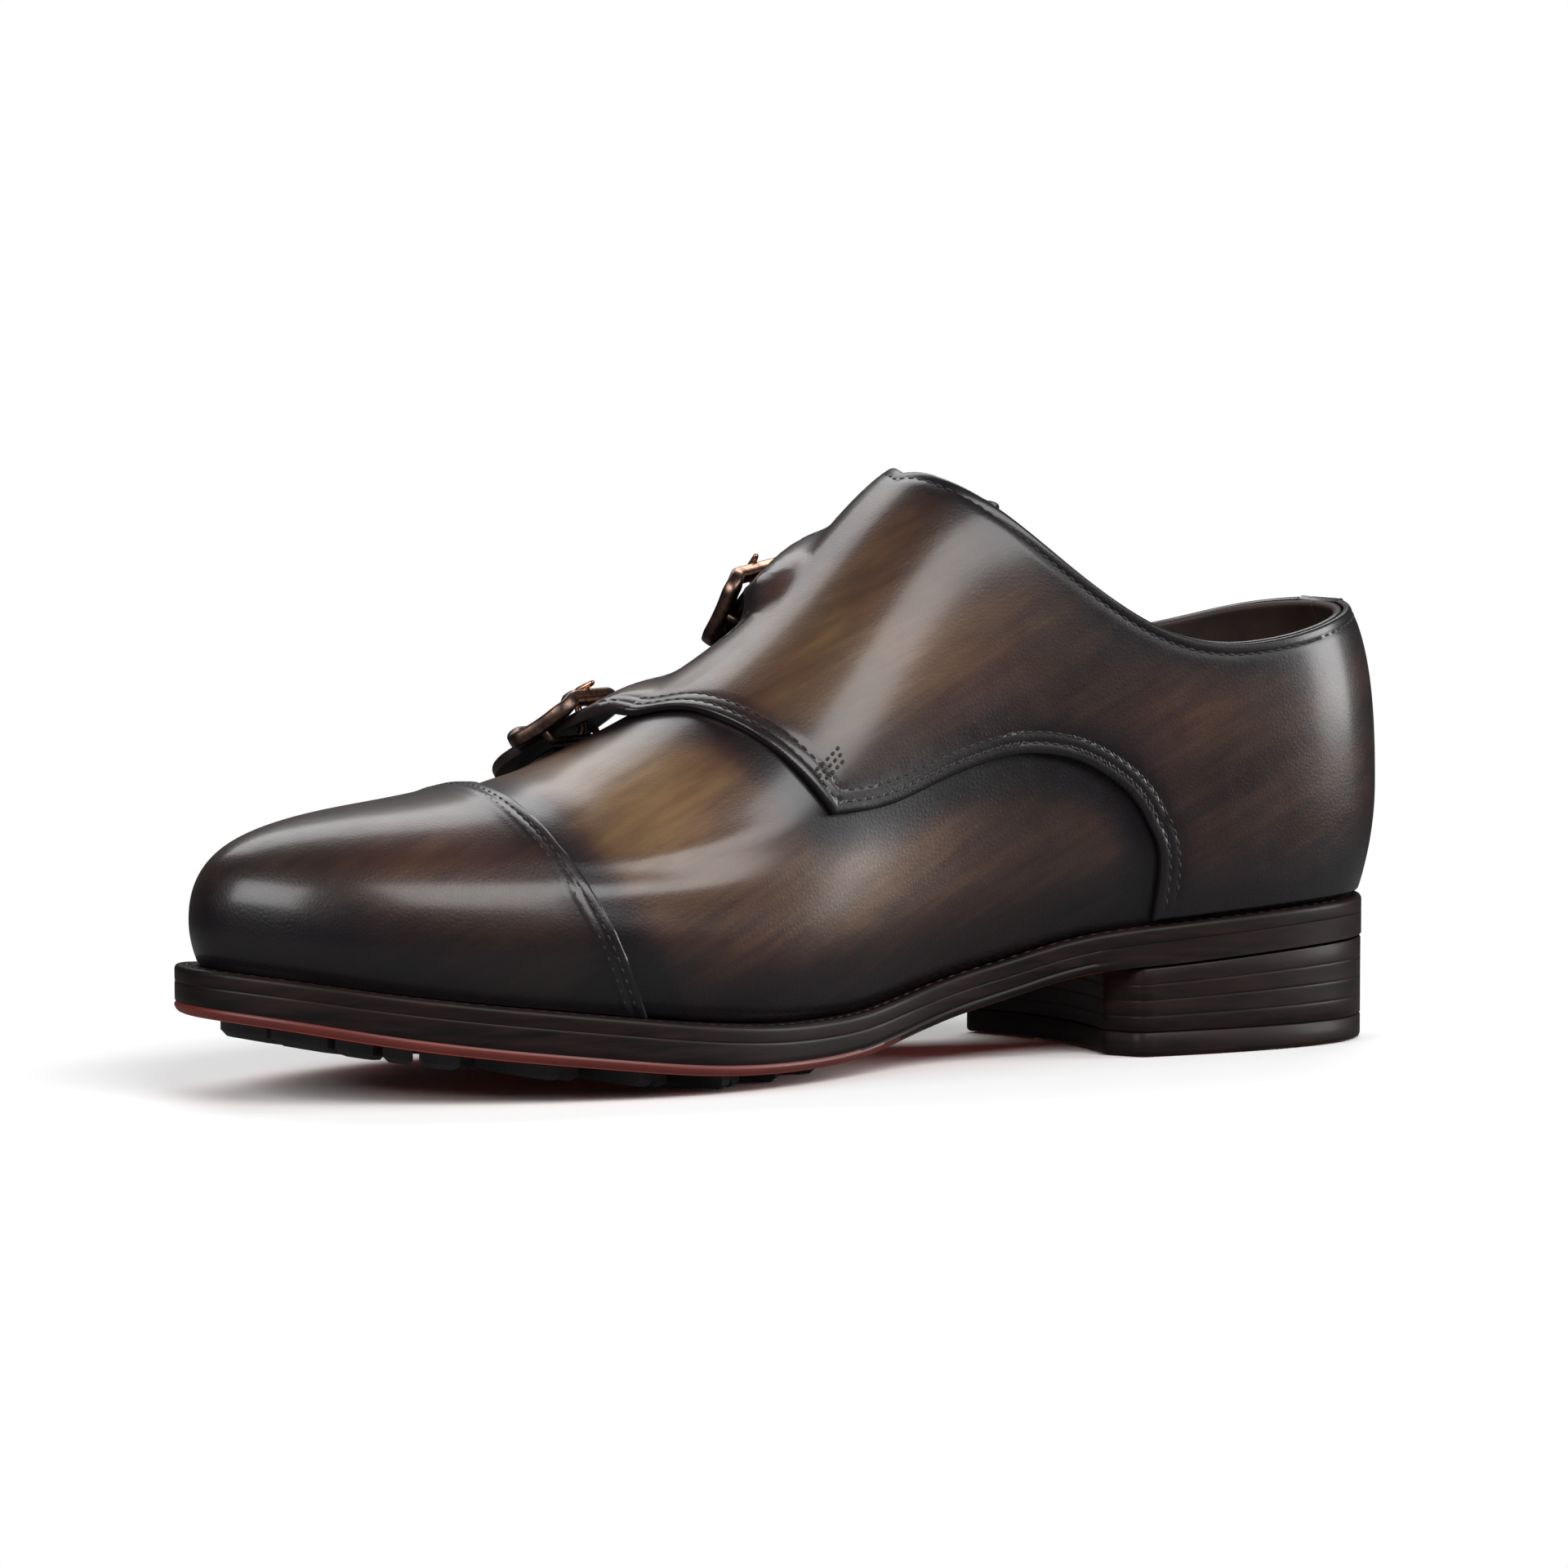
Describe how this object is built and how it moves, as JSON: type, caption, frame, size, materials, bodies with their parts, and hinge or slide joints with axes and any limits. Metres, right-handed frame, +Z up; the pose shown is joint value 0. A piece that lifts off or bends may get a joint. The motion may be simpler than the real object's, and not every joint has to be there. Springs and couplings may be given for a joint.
{
  "type": "monk strap shoe",
  "caption": "Low leather shoe for the right foot with a toe cap, a flap buckled over the instep by straps, a stacked heel and rubber lugs.",
  "frame": {"origin": "centre of the flat ground face of the heel", "axes": "+X along the shoe to the toe, +Y to the inner side of the right foot, +Z up"},
  "size_m": [0.3057, 0.1052, 0.136],
  "materials": {
    "upper_leather": "burnished, glossy",
    "edge_leather": "dark waxed edge",
    "sole_leather": "smooth, dyed",
    "lining_leather": "matt",
    "rubber": "matt",
    "buckle_metal": "antique"
  },
  "bodies": {
    "root": {"outsole": "sole_leather", "welt": "edge_leather", "insole": "lining_leather", "heel_stack": "edge_leather", "heel_rubber_tip": "rubber", "heel_top_leather": "sole_leather", "lug_outer_1": "rubber", "lug_outer_2": "rubber", "lug_outer_3": "rubber", "lug_outer_4": "rubber", "lug_outer_5": "rubber", "lug_inner_1": "rubber", "lug_inner_2": "rubber", "lug_inner_3": "rubber", "lug_inner_4": "rubber", "lug_inner_5": "rubber", "stud_1": "rubber", "stud_2": "rubber", "stud_3": "rubber", "lug_toe_1": "rubber", "lug_toe_2": "rubber", "lug_toe_3": "rubber", "lug_toe_4": "rubber", "lug_toe_5": "rubber", "lug_toe_6": "rubber", "upper": "upper_leather", "toe_cap": "upper_leather", "back_strip": "upper_leather", "inner_quarter": "upper_leather", "outer_quarter": "upper_leather", "tongue": "upper_leather", "buckle_front": "buckle_metal", "prong_front": "buckle_metal", "buckle_rear": "buckle_metal", "prong_rear": "buckle_metal", "tab_front": "upper_leather", "tab_rear": "upper_leather"}
  },
  "joints": []
}
